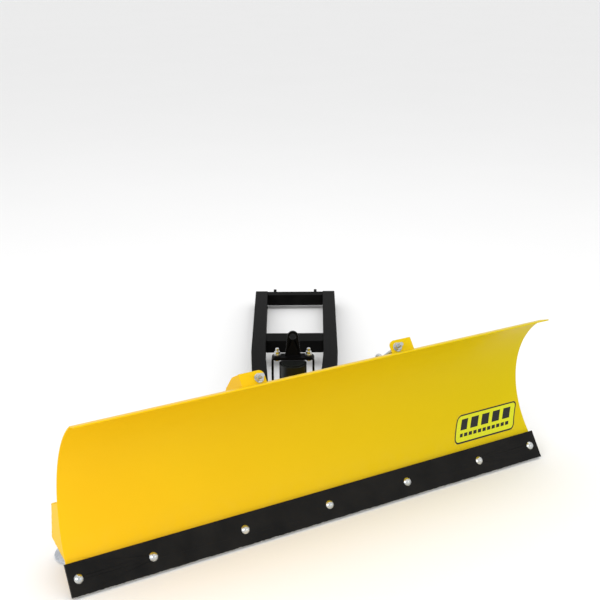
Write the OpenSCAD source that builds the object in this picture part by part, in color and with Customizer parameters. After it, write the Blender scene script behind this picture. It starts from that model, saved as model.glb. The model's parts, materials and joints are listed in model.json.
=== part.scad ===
// Straight snow plow for an all-terrain vehicle: a tripping blade on a swivel head,
// a powered angle drive and a push frame.
// Origin: centre of the rear hitch axis. +Z is up, -Y is the way the plow pushes.
// The wear bar, the skid shoes and the hitch ears all stand on the floor.

/* [Blade] */
// Length of the wear bar, which is the plow's width
blade_w = 1270; // [1050:5:1550]
// Angle of the blade to straight ahead, seen from above
blade_angle = 29.25; // [-30:0.25:30]
// Radius of the moldboard's concave face
face_r = 225; // [210:1:260]
// Lean of the wear bar and of the flat under the curve, from upright
face_lean = 36; // [30:1:38]
// Height at which the flat ends and the curve starts
flat_top = 73; // [64:1:80]
// Angle above level at which the curve ends and the lip starts
curl_end = 54; // [50:1:58]
// Width of the lip along the top edge
lip_w = 31; // [20:1:40]
// Rise of the lip above level
lip_rise = 20; // [10:1:25]
// Thickness of the moldboard sheet
sheet_t = 3; // [2.5:0.5:5]
// How far each end of the moldboard leans in from its bottom to its top
end_taper = 26; // [10:1:40]
// How far the moldboard's bottom corners stand in from the wear bar's ends
end_inset = 0.5; // [0:0.5:6]

/* [Wear bar] */
// Height of the wear bar along its face
bar_h = 72; // [60:1:90]
// Thickness of the wear bar
bar_t = 9.5; // [6:0.5:12]
// How far the sheet's bottom edge stands above the bar's bottom edge
bar_reveal = 14; // [10:1:20]
// Diameter of the wear bar's bolts
bar_bolt_d = 10; // [8:1:12]
// Distance of the outermost bolts from the bar's ends
bar_bolt_end = 22; // [18:1:30]
// Distance from the outermost bolts to the next ones
bar_bolt_step = 168; // [120:1:190]

/* [Blade back] */
// Height at which the torsion box meets the moldboard
box_top = 176; // [170:1:185]
// Distance of the torsion box's rear web behind the cutting edge
box_back = 148; // [140:1:152]
// Fall of the torsion box's top flange towards the rear
box_drop = 24; // [16:1:30]
// Height of the torsion box's rear web
box_h = 80; // [70:1:84]
// Distance of the torsion box's ends from the moldboard's ends
box_inset = 1; // [0.5:0.5:20]
// Thickness of ribs and lugs
rib_t = 6; // [5:0.5:8]
// Distance of the main ribs' outer faces from the centre
rib_x = 225; // [222:1:236]
// Depth of the light ribs on the back of the moldboard
light_rib_w = 26; // [18:1:32]
// Distance of the light ribs from the centre
light_rib_x = 430; // [380:1:470]

/* [Trip springs] */
// Distance of the springs from the centre
spring_x = 181; // [179:1:184]
// Distance of the bracket's bolt hole behind the fold at the lip
tab_back = 13; // [11:1:15]
// Height of the bracket's bolt hole above the fold
tab_up = 8.75; // [6:0.25:12]
// Fall of the spring's axis towards the rear
spring_fall = 39; // [37:1:41]
// Thickness of the spring brackets
tab_t = 5; // [4:0.5:6]
// Diameter of the eye bolts
eye_bolt_d = 9; // [8:0.5:9]
// Distance from the bracket to the centre of the eye
eye_reach = 90; // [86:1:94]
// Outer diameter of the springs
spring_d = 34; // [30:1:36]
// Wire diameter of the springs
spring_wire = 4.5; // [4:0.5:4.5]
// Distance from the bracket to the hole in the spring anchor
anchor_reach = 243; // [238:1:246]

/* [Swivel head] */
// Distance of the kingpin behind the cutting edge
edge_ahead = 197; // [192:1:205]
// Diameter of the kingpin
kingpin_d = 25; // [22:1:28]
// Diameter of the trip pins
trip_pin_d = 12.7; // [10:0.1:14]
// Distance of the trip pins behind the cutting edge
trip_back = 165; // [163:1:168]
// Height of the trip pins
trip_z = 58; // [54:1:60]
// Depth of the swivel beam, front to back
beam_d = 50; // [44:1:52]
// Wall of the swivel beam and the push frame's members
wall = 4; // [3:0.5:5]

/* [Push frame] */
// Distance from the kingpin to the rear hitch axis
reach = 1400; // [1200:5:1600]
// Side of the square push tubes
tube = 44; // [40:1:50]
// Distance from the centre to a tube's inner face at its front end
tube_front = 58; // [54:1:66]
// The same at the tubes' bend
tube_mid = 89; // [80:1:96]
// The same at its rear end
tube_rear = 102; // [96:1:115]
// Distance of the tubes' bend behind the kingpin
bend_back = 660; // [400:5:740]
// Height of the push tubes' top at the nose
tube_top = 130; // [130:1:140]
// Distance of the cross member's front face behind the kingpin
cross_back = 775; // [750:5:900]
// Depth of the cross member
cross_d = 71; // [50:1:80]
// Radius of the hitch ears, which stand on the floor
ear_r = 26; // [22:1:30]
// Diameter of the hitch pin hole
hitch_pin_d = 16.2; // [12.2:0.5:20.2]
// Distance of the hitch ears' outer faces from the centre
ear_x = 80; // [60:1:85]

/* [Angle drive] */
// Radius of the gearbox
gearbox_r = 44; // [40:1:45]
// Height of the gearbox
gearbox_h = 34; // [28:1:40]
// Radius of the motor
motor_r = 33; // [28:1:35]
// Length of the motor, with its end cap
motor_h = 164; // [140:1:166]
// Height of the lift arch's top face
arch_z = 346; // [345:1:360]
// Height of the lift lug's top
lug_z = 409; // [405:1:430]
// Diameter of the lift lug's hole
lug_hole_d = 16; // [12:1:17]

/* [Skid shoes] */
// Radius of the shoes
shoe_r = 48; // [42:1:55]
// Distance of the shoes from the wear bar's ends
shoe_inset = 62; // [56:1:90]
// Distance of the shoes' stems behind the cutting edge
shoe_back = 168; // [167:1:180]
// Diameter of the shoes' stems
stem_d = 25.4; // [20:0.1:26]

/* [Hidden] */
$fn = 64;

// Clearances
run_fit = 0.05;    // radial play of a pin that turns or slides
seat = 0.02;       // radial play of a pin that is seated
gap = 0.3;         // between moving faces that pass close by
bolt_play = 0.5;   // radial play of a bolt in its hole

// The blade's profile, drawn as (distance behind the kingpin, height)
edge_y = -edge_ahead;
up_face = [sin(face_lean), cos(face_lean)];
into_face = [cos(face_lean), -sin(face_lean)];
bar_foot = [edge_y, bar_t * sin(face_lean)];
sheet_foot = [edge_y + bar_t * cos(face_lean), 0];
curve_start = sheet_foot + up_face * (flat_top / cos(face_lean));
ease = 0.05;        // the curve reaches this far past the flat's line, so that the two cross
centre = curve_start - into_face * (face_r - ease);
back_r = face_r + sheet_t;
function polar(angle) = [cos(angle), sin(angle)];
curve_end = centre + face_r * polar(curl_end);
lip_dir = [-cos(lip_rise), sin(lip_rise)];
lip_up = [sin(lip_rise), cos(lip_rise)];
lip_tip = curve_end + lip_w * lip_dir;
blade_h = lip_tip[1] + sheet_t;
function end_x(z) = blade_w / 2 - end_inset - end_taper * z / blade_h;
function back_y(z) = centre[0] + sqrt(pow(back_r, 2) - pow(z - centre[1], 2));
function flat_back_y(z) = sheet_foot[0] + sheet_t / cos(face_lean) + z * tan(face_lean);

// Wear bar bolts, from the centre outwards
bar_bolt_out = blade_w / 2 - bar_bolt_end;
bar_bolt_in = bar_bolt_out - bar_bolt_step;
bar_bolt_xs = [-bar_bolt_out, -bar_bolt_in, -bar_bolt_in / 2, 0,
    bar_bolt_in / 2, bar_bolt_in, bar_bolt_out];
washer_t = 2;
bar_nut_h = 8;
bar_head_r = 10.5;
bar_head_h = 5.5;

// Torsion box corners, from the sheet round to the sheet
box_y = edge_y + box_back;
box_web_top = box_top - box_drop;
box_web_foot = box_web_top - box_h;
box_low_z = box_web_foot - 10;
box_path = [[back_y(box_top) - 8, box_top + 4.7], [box_y, box_web_top],
    [box_y, box_web_foot], [flat_back_y(box_low_z) - 6, box_low_z - 0.7]];
box_end_t = 3;

// A corner of a folded plate's inner face, at distance t from the outer corner b
function normal(a, b) = [a[1] - b[1], b[0] - a[0]] / norm(b - a);
function dot2(a, b) = a[0] * b[0] + a[1] * b[1];
function fold(a, b, c, t) = b - t * (normal(a, b) + normal(b, c)) / (1 + dot2(normal(a, b), normal(b, c)));

// Springs and their brackets: the hole, and unit steps back along the axis and up the bracket
tab_hole = curve_end + [tab_back, tab_up];
spring_dir = [cos(spring_fall), -sin(spring_fall)];
tab_dir = [sin(spring_fall), cos(spring_fall)];
tab_rise = 18;
tab_in = 16;
tab_corner_r = 13;
eye_wire_r = eye_bolt_d / 2;
eye_ring_r = 12;
hook_ring_r = 10;
hook_play = 0.25;
eye_hook_at = eye_reach + eye_ring_r - eye_wire_r - hook_play - spring_wire / 2 + hook_ring_r;
coil_start = eye_hook_at + hook_ring_r - spring_wire / 2;
anchor_hook_at = anchor_reach - 3 - hook_ring_r - 1.5;
coil_end = anchor_hook_at - hook_ring_r - 1.5 + spring_wire / 2;
anchor_hole = tab_hole + anchor_reach * spring_dir;
anchor_hole_r = 7;
anchor_r = 17;
anchor_t = 8;
stud_out = 26;
eye_nut_w = 16;
eye_nut_h = 8;
eye_washer_r = 11;

// Swivel head
plate_t = 8;
thrust_t = 2.5;
thrust_gap = 0.1;
nose_low = tube_top - tube;
hub_low = nose_low + thrust_t + thrust_gap;
hub_h = tube - 2 * (thrust_t + thrust_gap);
hub_r = 24;
kingpin_r = kingpin_d / 2;
trip_y = edge_y + trip_back;
trip_r = trip_pin_d / 2;
trip_ear_r = 20;
arm_r = 16.5;
arm_t = 12;
arm_x = rib_x - rib_t - 6 - arm_t;
lug_x = arm_x - 6 - rib_t;
beam_x = arm_x + arm_t;
stop_x = 110;
nut_h = 18;
nut_w = 38;
key_w = 6;

// Push tubes: the side view slopes down behind the nose
tube_start = 105;
tube_end = reach - 30;
slope_start = 215;
tube_rear_top = 2 * ear_r + 4;
function tube_in(y) = y < bend_back ?
    tube_front + (tube_mid - tube_front) * (y - tube_start) / (bend_back - tube_start) :
    tube_mid + (tube_rear - tube_mid) * (y - bend_back) / (tube_end - bend_back);
slope = (tube_top - tube_rear_top) / (tube_end - slope_start);
function slope_top(y) = tube_top - slope * max(0, y - slope_start);
cross_h = 40;
hitch_bar_d = 40;
ear_t = 10;
bush_wall = 3;

// Angle drive and lift arch
deck = tube_top + plate_t;
motor_low = deck + gearbox_h;
cap_h = 8;
strap_t = 5;
strap_top_t = 6;
strap_w = 32;
leg_x = 52;
foot_x = 78;
arch_corner_r = 10;
lug_r = 13;
lug_t = 8;
stud_x = 38;
stud_r = 4;
stud_y = strap_w / 2;

// Skid shoes
shoe_x = blade_w / 2 - shoe_inset;
shoe_y = edge_y + shoe_back;
sleeve_r = stem_d / 2 + 4.5;
sleeve_low = 72;
sleeve_top = 124;
stem_top = 166;
ring_z = 150;

yellow = [0.95, 0.77, 0.08];
black = [0.07, 0.07, 0.075];
bar_black = [0.13, 0.13, 0.13];
zinc = [0.78, 0.78, 0.76];
steel = [0.62, 0.64, 0.66];
shoe_grey = [0.62, 0.64, 0.68];

// ---- placing ----

// Stands the push frame's drawing, made round the kingpin on the floor, in the part's frame
module at_kingpin() {
    translate([0, -reach, -ear_r]) children();
}

// The same for what turns with the blade
module on_swivel() {
    at_kingpin() rotate([0, 0, blade_angle]) children();
}

// Extrudes a profile along the blade, centred on x
module along_blade(width, x = 0) {
    translate([x, 0, 0]) rotate([90, 0, 90]) linear_extrude(width, center = true) children();
}

// Draws on the right (1) or mirrored to the left (-1)
module on_side(side) {
    mirror([side > 0 ? 0 : 1, 0, 0]) children();
}

module both_sides() {
    for (side = [-1, 1]) on_side(side) children();
}

// Puts a Z axis drawing at a profile point with its axis along a profile direction
module along_profile(x, point, direction) {
    translate([x, point[0], point[1]]) rotate([-atan2(direction[0], direction[1]), 0, 0]) children();
}

module hex(width, height) {
    cylinder(d = width / cos(30), h = height, $fn = 6);
}

module ring(major, minor) {
    rotate_extrude() translate([major, 0]) circle(minor, $fn = 24);
}

// ---- blade profile ----

// Everything on the front side of a surface at depth t behind the face
module face_fill(t = sheet_t) {
    translate(centre) circle(face_r + t, $fn = 180);
    polygon([curve_start + into_face * t, curve_start - into_face * 150,
        sheet_foot - up_face * 60 - into_face * 150, sheet_foot - up_face * 60 + into_face * t]);
}

module sector(from, to) {
    middle = (from + to) / 2;
    far = 3 * face_r;
    polygon([centre, centre + far * polar(from), centre + far * polar(middle), centre + far * polar(to)]);
}

// A band on the curve between two radii and two angles
module curve_band(inner, outer, from, to) {
    intersection() {
        translate(centre) difference() {
            circle(outer, $fn = 180);
            circle(inner, $fn = 180);
        }
        sector(from, to);
    }
}

// The same, but also below the lip's surface
module sheet_fill(t) {
    far = 3 * face_r;
    top = curve_end + lip_up * t;
    intersection() {
        face_fill(t);
        polygon([top + lip_dir * far, top - lip_dir * far, top - (lip_dir + lip_up) * far,
            top + (lip_dir - lip_up) * far]);
    }
}

// Flat, curve and lip as one sheet between its two faces
module sheet_outline() {
    low = sheet_foot + up_face * bar_reveal;
    far = 3 * face_r;
    difference() {
        sheet_fill(sheet_t);
        sheet_fill(0);
        polygon([low + into_face * 60, low - into_face * far, low - (into_face + up_face) * far,
            low + into_face * 60 - up_face * far]);
        polygon([lip_tip + lip_up * 50, lip_tip + lip_up * 50 + lip_dir * far,
            lip_tip + (lip_dir - lip_up) * far, lip_tip - lip_up * far]);
    }
}

// The moldboard's front view, which narrows to the top
module front_view(inset = 0) {
    rotate([90, 0, 0]) linear_extrude(4 * face_r, center = true)
        polygon([[-end_x(0) + inset, 0], [end_x(0) - inset, 0],
            [end_x(blade_h) - inset, blade_h], [-end_x(blade_h) + inset, blade_h]]);
}

module box_fill() {
    polygon(box_path);
}

// ---- blade ----

module bar_bolt_axes() {
    middle = bar_foot + up_face * (bar_h / 2);
    for (x = bar_bolt_xs) along_profile(x, middle, into_face) children();
}

module moldboard() {
    color(yellow) on_swivel() difference() {
        intersection() {
            along_blade(blade_w) sheet_outline();
            front_view();
        }
        bar_bolt_axes() cylinder(r = bar_bolt_d / 2 + bolt_play, h = 60);
    }
}

// A slanted vinyl patch on the face, near the right end
module decal() {
    thick = 0.4;
    width = 197;
    slant = 33;
    low = bar_foot[1] + bar_h * up_face[1] + 8;
    high = low + 64;
    right = end_x(high) - 4;
    color("yellow") on_swivel() intersection() {
        along_blade(blade_w) difference() {
            face_fill(0);
            face_fill(-thick);
        }
        rotate([90, 0, 0]) linear_extrude(2 * face_r)
            polygon([[right - width - slant, low], [right - slant, low],
                [right, high], [right - width, high]]);
    }
}

module wear_bar() {
    color(bar_black) on_swivel() difference() {
        along_blade(blade_w) polygon([bar_foot, bar_foot + up_face * bar_h,
            bar_foot + up_face * bar_h + into_face * bar_t, bar_foot + into_face * bar_t]);
        bar_bolt_axes() translate([0, 0, -1]) cylinder(r = bar_bolt_d / 2 + bolt_play, h = bar_t + 2);
    }
}

// Domed heads on the bar's face, shanks through the bar and the sheet
module wear_bar_bolts() {
    dome_r = (pow(bar_head_r, 2) + pow(bar_head_h, 2)) / (2 * bar_head_h);
    color(zinc) on_swivel() bar_bolt_axes() {
        rotate_extrude() intersection() {
            translate([0, dome_r - bar_head_h]) circle(dome_r, $fn = 96);
            translate([0, -bar_head_h]) square([bar_head_r + 1, bar_head_h]);
        }
        cylinder(d = bar_bolt_d, h = bar_t + sheet_t + washer_t + bar_nut_h + 4);
    }
}

module wear_bar_washers() {
    color(zinc) on_swivel() bar_bolt_axes() translate([0, 0, bar_t + sheet_t]) difference() {
        cylinder(r = 11, h = washer_t);
        translate([0, 0, -1]) cylinder(r = bar_bolt_d / 2 + bolt_play, h = washer_t + 2);
    }
}

module wear_bar_nuts() {
    color(zinc) on_swivel() bar_bolt_axes() translate([0, 0, bar_t + sheet_t + washer_t]) difference() {
        hex(16, bar_nut_h);
        translate([0, 0, -1]) cylinder(r = bar_bolt_d / 2 + seat, h = bar_nut_h + 2);
    }
}

module torsion_box() {
    p = box_path;
    color(yellow) on_swivel() intersection() {
        along_blade(blade_w) difference() {
            polygon([p[0], p[1], p[2], p[3], p[3] - sheet_t * normal(p[2], p[3]),
                fold(p[1], p[2], p[3], sheet_t), fold(p[0], p[1], p[2], sheet_t),
                p[0] - sheet_t * normal(p[0], p[1])]);
            face_fill();
        }
        front_view(box_inset + box_end_t);
    }
}

module box_ends() {
    color(yellow) on_swivel() difference() {
        intersection() {
            along_blade(blade_w) difference() {
                box_fill();
                face_fill();
            }
            front_view(box_inset);
        }
        front_view(box_inset + box_end_t);
    }
}

// Full-height ribs that carry the spring brackets at the top and the trip pins at the foot
module main_ribs() {
    top = tab_hole + tab_rise * tab_dir + spring_dir * (tab_t / 2);
    color(yellow) on_swivel() both_sides() along_blade(rib_t, rib_x - rib_t / 2) difference() {
        union() {
            polygon([top, tab_hole + [44, -5], tab_hole + [74, -41], tab_hole + [102, -96],
                [box_y + 2, box_top + 54], [box_y + 32, box_web_top - 32],
                [trip_y + trip_ear_r, trip_z], [trip_y, trip_z - trip_ear_r], [trip_y - 45, trip_z - 10],
                [edge_y + 60, 120], tab_hole - 30 * tab_dir + spring_dir * (tab_t / 2)]);
            translate([trip_y, trip_z]) circle(trip_ear_r);
        }
        face_fill();
        box_fill();
        translate([trip_y, trip_z]) circle(trip_r + run_fit);
    }
}

module light_ribs() {
    color(yellow) on_swivel() both_sides() along_blade(rib_t, light_rib_x) difference() {
        curve_band(back_r, back_r + light_rib_w, -20, curl_end - 20);
        box_fill();
    }
}

// Inner lugs, which hold the inner ends of the trip pins
module trip_lugs() {
    color(yellow) on_swivel() both_sides() along_blade(rib_t, lug_x + rib_t / 2) difference() {
        union() {
            polygon([[box_y - 4, 122], [box_y + 14, 122], [box_y + 18, 84], [trip_y + trip_ear_r, trip_z],
                [trip_y, trip_z - trip_ear_r], [edge_y + 120, 48], [edge_y + 112, 72]]);
            translate([trip_y, trip_z]) circle(trip_ear_r);
        }
        box_fill();
        face_fill();
        translate([trip_y, trip_z]) circle(trip_r + run_fit);
    }
}

// The bracket's plate, square to the spring's axis, between the main rib and its round corner
module spring_bracket(side) {
    outer = rib_x - spring_x;
    color(yellow) on_swivel() on_side(side) difference() {
        along_profile(spring_x, tab_hole - spring_dir * (tab_t / 2), spring_dir) difference() {
            linear_extrude(tab_t) {
                translate([-tab_in, -tab_rise + tab_corner_r]) square([outer + tab_in, 60]);
                translate([-tab_in + tab_corner_r, -tab_rise]) square([outer + tab_in - tab_corner_r, 60]);
                translate([-tab_in + tab_corner_r, -tab_rise + tab_corner_r]) circle(tab_corner_r);
            }
            translate([0, 0, -1]) cylinder(r = eye_bolt_d / 2 + bolt_play, h = tab_t + 2);
        }
        along_blade(blade_w) face_fill();
    }
}

module eye_bolt(side) {
    color(zinc) on_swivel() on_side(side) along_profile(spring_x, tab_hole, spring_dir) {
        translate([0, 0, -stud_out]) cylinder(d = eye_bolt_d, h = stud_out + eye_reach - eye_ring_r);
        translate([0, 0, eye_reach]) rotate([0, 90, 0]) ring(eye_ring_r, eye_wire_r);
    }
}

// A nut on each side of the bracket
module eye_bolt_nuts() {
    off = tab_t / 2 + washer_t;
    color(zinc) on_swivel() both_sides() along_profile(spring_x, tab_hole, spring_dir) difference() {
        union() {
            translate([0, 0, off]) hex(eye_nut_w, eye_nut_h);
            translate([0, 0, -off - eye_nut_h]) hex(eye_nut_w, eye_nut_h);
        }
        cylinder(r = eye_bolt_d / 2 + seat, h = 60, center = true);
    }
}

module eye_bolt_washers() {
    color(zinc) on_swivel() both_sides() along_profile(spring_x, tab_hole, spring_dir) difference() {
        union() {
            translate([0, 0, tab_t / 2]) cylinder(r = eye_washer_r, h = washer_t);
            translate([0, 0, -tab_t / 2 - washer_t]) cylinder(r = eye_washer_r, h = washer_t);
        }
        cylinder(r = eye_bolt_d / 2 + bolt_play, h = 60, center = true);
    }
}

pin_in = lug_x - 12;

// Head outside the main rib, cross hole for the clip inside the lug
module trip_pin(side) {
    length = rib_x + gap - pin_in;
    color(zinc) on_swivel() on_side(side) translate([pin_in, trip_y, trip_z]) rotate([0, 90, 0])
        difference() {
            union() {
                cylinder(r = trip_r, h = length);
                translate([0, 0, length]) cylinder(r = trip_r + 4, h = 5);
            }
            translate([0, 0, 6]) rotate([90, 0, 0]) cylinder(r = 1.8, h = 30, center = true);
        }
}

// A straight leg through the pin and a loop behind it
module trip_pin_clips() {
    color(steel) on_swivel() both_sides() translate([pin_in + 6, trip_y, trip_z]) {
        rotate([90, 0, 0]) cylinder(r = 1.5, h = 22, center = true, $fn = 24);
        translate([0, 11 + 8, 0]) rotate([0, 90, 0]) ring(8, 1.5);
    }
}

// ---- skid shoes ----

module skid_sleeve(side) {
    height = sleeve_top - sleeve_low;
    color(yellow) on_swivel() on_side(side) translate([shoe_x, shoe_y, 0]) difference() {
        union() {
            translate([0, 0, sleeve_low]) cylinder(r = sleeve_r, h = height);
            translate([-12, box_y - shoe_y, sleeve_low + 6]) cube([24, shoe_y - box_y, height - 12]);
            translate([0, 0, (sleeve_low + sleeve_top) / 2]) rotate([-90, 0, 0])
                cylinder(r = 11, h = sleeve_r + 4);
        }
        cylinder(r = stem_d / 2 + run_fit, h = 200);
        translate([0, 0, (sleeve_low + sleeve_top) / 2]) rotate([-90, 0, 0]) cylinder(r = 5.1, h = 40);
    }
}

module skid_set_bolts() {
    color(zinc) on_swivel() both_sides() translate([shoe_x, shoe_y, (sleeve_low + sleeve_top) / 2])
        rotate([-90, 0, 0]) {
            translate([0, 0, stem_d / 2 + run_fit]) cylinder(r = 5, h = 16);
            translate([0, 0, sleeve_r + 9]) hex(17, 7);
        }
}

// A low dome that slides on a flat foot
module skid_shoe(side) {
    color(shoe_grey) on_swivel() on_side(side) translate([shoe_x, shoe_y, 0]) rotate_extrude() difference() {
        polygon([[0, 0], [shoe_r - 8, 0], [shoe_r - 2, 1.6], [shoe_r, 4.2], [shoe_r - 1.2, 7],
            [shoe_r - 6, 10.2], [shoe_r - 14, 13], [shoe_r - 24, 14.8], [stem_d / 2 + 7, 15.4],
            [stem_d / 2 + 4, 22], [0, 22]]);
        translate([0, 5]) square([stem_d / 2 + seat, 40]);
    }
}

module skid_stem(side) {
    color(steel) on_swivel() on_side(side) translate([shoe_x, shoe_y, 5]) difference() {
        cylinder(d = stem_d, h = stem_top - 5);
        translate([0, 0, ring_z - 5]) rotate([90, 0, 0]) cylinder(r = 4, h = 60, center = true);
    }
}

// A linch pin through the stem's head, which keeps the stem in its sleeve
module stem_ring(side) {
    color(steel) on_swivel() on_side(side) translate([shoe_x, shoe_y, ring_z]) {
        translate([0, -stem_d / 2 - 4, 0]) rotate([-90, 0, 0]) cylinder(r = 4 - seat, h = stem_d + 13);
        translate([0, stem_d / 2 + 9 + 12, 0]) rotate([0, 90, 0]) ring(12, 2);
    }
}

// ---- swivel head ----

module beam_outline(inset) {
    translate([-beam_d / 2 + inset, hub_low + inset]) square([beam_d - 2 * inset, hub_h - 2 * inset]);
}

module swivel_beam() {
    color(black) on_swivel() difference() {
        along_blade(2 * arm_x) beam_outline(0);
        along_blade(2 * arm_x + 1) beam_outline(wall);
        cylinder(r = hub_r, h = 300);
    }
}

module swivel_hub() {
    color(black) on_swivel() difference() {
        translate([0, 0, hub_low]) cylinder(r = hub_r, h = hub_h);
        cylinder(r = kingpin_r + seat, h = 300);
        translate([-key_w / 2, 0, 0]) cube([key_w, kingpin_r + 3.2, 300]);
    }
}

// Plates that close the beam's ends and reach down to bosses on the trip pins
module trip_arms() {
    boss = rib_x - rib_t - lug_x - rib_t - 2 * gap;
    color(black) on_swivel() both_sides() difference() {
        union() {
            along_blade(arm_t, arm_x + arm_t / 2) {
                beam_outline(0);
                translate([trip_y, trip_z]) circle(arm_r);
                polygon([[trip_y - arm_r * 0.86, trip_z + arm_r * 0.5], [-beam_d / 2, hub_low + 1],
                    [beam_d / 2, hub_low + 1], [trip_y + arm_r * 0.86, trip_z - arm_r * 0.5]]);
            }
            along_blade(boss, arm_x + arm_t / 2) translate([trip_y, trip_z]) circle(trip_r + 4.5);
        }
        along_blade(2 * boss, arm_x + arm_t / 2) translate([trip_y, trip_z]) circle(trip_r + run_fit);
    }
}

module spring_anchors() {
    low = hub_low + hub_h;
    color(black) on_swivel() both_sides() along_blade(anchor_t, spring_x) difference() {
        union() {
            translate(anchor_hole) circle(anchor_r);
            polygon([[-beam_d / 2, low], [beam_d / 2, low], anchor_hole + [anchor_r, 0],
                anchor_hole - [anchor_r, 0]]);
        }
        translate(anchor_hole) circle(anchor_hole_r);
    }
}

// Pads on the beam's front, which the torsion box rests against
module trip_stops() {
    length = -box_y - beam_d / 2 - gap;
    color("dimgray") on_swivel() both_sides()
        translate([stop_x - 15, -beam_d / 2 - length, hub_low + 8]) cube([30, length, 22]);
}

module kingpin() {
    low = nose_low - plate_t - nut_h - 6;
    color(steel) on_swivel() difference() {
        translate([0, 0, low]) cylinder(r = kingpin_r, h = deck + 16 - low);
        translate([-key_w / 2 - seat, kingpin_r - 3, hub_low + 4]) cube([key_w + 2 * seat, 10, hub_h - 8]);
        translate([0, 0, low + 6]) rotate([0, 90, 0]) cylinder(r = 2.2, h = 60, center = true);
    }
}

module shaft_key() {
    color(steel) on_swivel() translate([-key_w / 2 + seat, kingpin_r - 3 + seat, hub_low + 4.1])
        cube([key_w - 2 * seat, 6, hub_h - 8.2]);
}

// A washer under the bottom plate and a slotted nut under that
module castle_nut() {
    top = nose_low - plate_t - thrust_gap;
    color(zinc) on_swivel() difference() {
        union() {
            translate([0, 0, top - 3]) cylinder(r = kingpin_r + 9, h = 3);
            translate([0, 0, top - 3 - nut_h]) rotate([0, 0, 30]) hex(nut_w, nut_h);
        }
        cylinder(r = kingpin_r + seat, h = 300);
        for (turn = [0, 60, 120]) rotate([0, 0, turn])
            translate([-40, -2.5, top - 3 - nut_h - 1]) cube([80, 5, 8]);
    }
}

module split_pin() {
    low = nose_low - plate_t - nut_h - 6 + 6;
    color(steel) on_swivel() translate([0, 0, low]) {
        rotate([0, 90, 0]) cylinder(r = 2, h = nut_w + 8, center = true, $fn = 24);
        translate([nut_w / 2 + 4 + 4, 0, 0]) rotate([90, 0, 0]) ring(4, 1.8);
    }
}

// Coil envelope with a loop at each end: one through the eye, one through the anchor
module trip_spring(side) {
    wire_r = spring_wire / 2;
    color(steel) on_swivel() on_side(side) along_profile(spring_x, tab_hole, spring_dir) {
        difference() {
            translate([0, 0, coil_start]) cylinder(d = spring_d, h = coil_end - coil_start);
            translate([0, 0, coil_start - 1])
                cylinder(r = spring_d / 2 - spring_wire, h = coil_end - coil_start + 2);
        }
        for (at = [eye_hook_at, anchor_hook_at]) translate([0, 0, at]) rotate([90, 0, 0])
            ring(at == eye_hook_at ? hook_ring_r : hook_ring_r + 1.5, wire_r);
        for (at = [coil_start, coil_end]) translate([0, 0, at]) rotate([0, 90, 0])
            translate([0, 0, -spring_d / 2 + 2]) cylinder(r = wire_r, h = spring_d - 4);
    }
}

// ---- push frame ----

function side_view(inset) = [[tube_start, nose_low + inset], [tube_start, tube_top - inset],
    [slope_start, tube_top - inset], [tube_end, tube_rear_top - inset],
    [tube_end, tube_rear_top - tube + inset], [slope_start, nose_low + inset]];

// Plan of one tube, which spreads out to the bend and less behind it
function plan_view(inset) = [[tube_front + inset, tube_start], [tube_mid + inset, bend_back],
    [tube_rear + inset, tube_end], [tube_rear + tube - inset, tube_end],
    [tube_mid + tube - inset, bend_back], [tube_front + tube - inset, tube_start]];

// One square tube, where its side view and its plan meet
module tube_solid(side, inset) {
    on_side(side) intersection() {
        rotate([90, 0, 90]) linear_extrude(2 * reach) polygon(side_view(inset));
        linear_extrude(2 * tube_top) polygon(plan_view(inset));
    }
}

// Cuts a cross piece off at the tubes' inner faces
module tube_cut() {
    both_sides() translate([0, 0, -tube]) linear_extrude(5 * tube)
        polygon([[tube_mid, bend_back], [tube_rear, tube_end], [3 * tube_rear, tube_end],
            [3 * tube_rear, bend_back]]);
}

module push_tube(side) {
    color(black) at_kingpin() difference() {
        tube_solid(side, 0);
        tube_solid(side, wall - 1);
    }
}

module tube_caps() {
    cap = 4;
    color([0.1, 0.1, 0.1]) at_kingpin() both_sides() {
        translate([tube_front + 1, tube_start - cap, nose_low + 1]) cube([tube - 2, cap, tube - 2]);
        translate([tube_rear + 1, tube_end, tube_rear_top - tube + 1]) cube([tube - 2, cap, tube - 2]);
    }
}

module cross_member() {
    top = slope_top(cross_back + cross_d) - 1;
    width = 2 * (tube_in(cross_back + cross_d) + tube / 2);
    color(black) at_kingpin() difference() {
        translate([-width / 2, cross_back, top - cross_h]) cube([width, cross_d, cross_h]);
        translate([-width / 2 - 1, cross_back + wall, top - cross_h + wall])
            cube([width + 2, cross_d - 2 * wall, cross_h - 2 * wall]);
        tube_cut();
    }
}

module hitch_bar() {
    width = 2 * (tube_rear + tube / 2);
    low = tube_rear_top - tube + 2;
    color(black) at_kingpin() difference() {
        translate([-width / 2, tube_end - hitch_bar_d, low]) cube([width, hitch_bar_d, tube - 4]);
        translate([-width / 2 - 1, tube_end - hitch_bar_d + wall, low + wall])
            cube([width + 2, hitch_bar_d - 2 * wall, tube - 4 - 2 * wall]);
        tube_cut();
    }
}

module hitch_ears() {
    color(black) at_kingpin() both_sides() along_blade(ear_t, ear_x - ear_t / 2) difference() {
        union() {
            translate([reach, ear_r]) circle(ear_r);
            translate([tube_end, tube_rear_top - tube + 4]) square([reach - tube_end, tube - 8]);
        }
        translate([reach, ear_r]) circle(hitch_pin_d / 2 + bush_wall);
    }
}

module hitch_bushes() {
    color(steel) at_kingpin() both_sides() translate([ear_x - ear_t / 2, reach, ear_r]) rotate([0, 90, 0])
        difference() {
            cylinder(r = hitch_pin_d / 2 + bush_wall, h = ear_t, center = true);
            cylinder(r = hitch_pin_d / 2, h = ear_t + 2, center = true);
        }
}

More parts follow.
